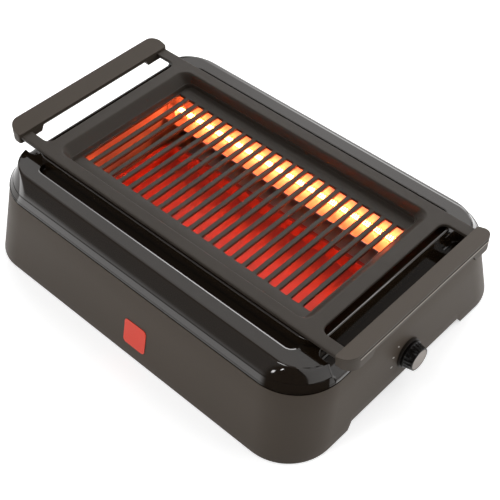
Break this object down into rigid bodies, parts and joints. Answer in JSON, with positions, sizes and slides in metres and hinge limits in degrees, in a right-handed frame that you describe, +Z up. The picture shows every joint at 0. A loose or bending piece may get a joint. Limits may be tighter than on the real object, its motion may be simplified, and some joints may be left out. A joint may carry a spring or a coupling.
{
  "type": "electric grill",
  "caption": "Low countertop grill: flared housing, gloss deck, lift-out slotted plate with grips, tube heaters, drip tray and a rotary control on the side.",
  "frame": {"origin": "on the standing surface, under the middle of the housing's footprint", "axes": "+X along the long side towards the control knob, +Y to the back, +Z up"},
  "size_m": [0.533, 0.3836, 0.1444],
  "materials": {
    "housing_plastic": "fine-grained warm dark grey moulding",
    "bottom_plastic": "plain dark moulding",
    "foot_rubber": "matte rubber",
    "gloss_black": "high gloss black",
    "knob_black": "gloss black",
    "knob_grey": "satin grey disc",
    "plate_coating": "dark non-stick coating on a casting",
    "shield_sheet": "mill sheet",
    "reflector_sheet": "polished sheet",
    "quartz": "clear quartz",
    "heating_wire": "resistance wire, glowing",
    "ceramic": "unglazed ceramic",
    "zinc_steel": "zinc plated",
    "tray_enamel": "dark enamel",
    "thermostat_case": "dark phenolic moulding",
    "dial_paint": "light print",
    "badge_red": "plain red",
    "lead_sleeve": "glass fibre sleeve",
    "terminal_nylon": "natural nylon"
  },
  "bodies": {
    "base": {"base_housing": "housing_plastic", "knob_bezel": "housing_plastic", "bottom_cover": "bottom_plastic", "rubber_feet": "foot_rubber", "cord_gland": "foot_rubber", "top_cover": "gloss_black", "left_pocket_panel": "gloss_black", "right_pocket_panel": "gloss_black", "heat_shield": "shield_sheet", "thermal_fuse": "shield_sheet", "front_reflector": "reflector_sheet", "rear_reflector": "reflector_sheet", "front_heating_tube": "quartz", "rear_heating_tube": "quartz", "front_filament": "heating_wire", "rear_filament": "heating_wire", "tube_end_caps": "ceramic", "cover_screws": "zinc_steel", "ledge_screws": "zinc_steel", "shield_screws": "zinc_steel", "tube_brackets": "zinc_steel", "control_bracket": "zinc_steel", "thermostat_nut": "zinc_steel", "thermostat": "thermostat_case", "dial_marks": "dial_paint", "badge": "badge_red", "internal_wiring": "lead_sleeve", "terminal_block": "terminal_nylon"},
    "plate": {"grill_plate": "plate_coating", "left_handle_base": "housing_plastic", "left_handle_cap": "housing_plastic", "right_handle_base": "housing_plastic", "right_handle_cap": "housing_plastic", "handle_screws": "zinc_steel"},
    "tray": {"drip_tray": "tray_enamel"},
    "knob": {"control_knob": "knob_black", "knob_insert": "knob_grey", "control_shaft": "zinc_steel"}
  },
  "joints": [
    {"name": "plate_lift", "type": "slide", "parent": "base", "child": "plate", "axis": [0, 0, 1], "range_m": [0, 0.28]},
    {"name": "tray_lift", "type": "slide", "parent": "base", "child": "tray", "axis": [0, 0, 1], "range_m": [0, 0.14]},
    {"name": "knob_turn", "type": "hinge", "parent": "base", "child": "knob", "pos_m": [0.2545, 0, 0.038], "axis": [1, 0, 0], "range_deg": [0, 54]}
  ],
  "couplings": [
    {"joint": "tray_lift", "follows": "plate_lift", "ratio": 0.5}
  ]
}
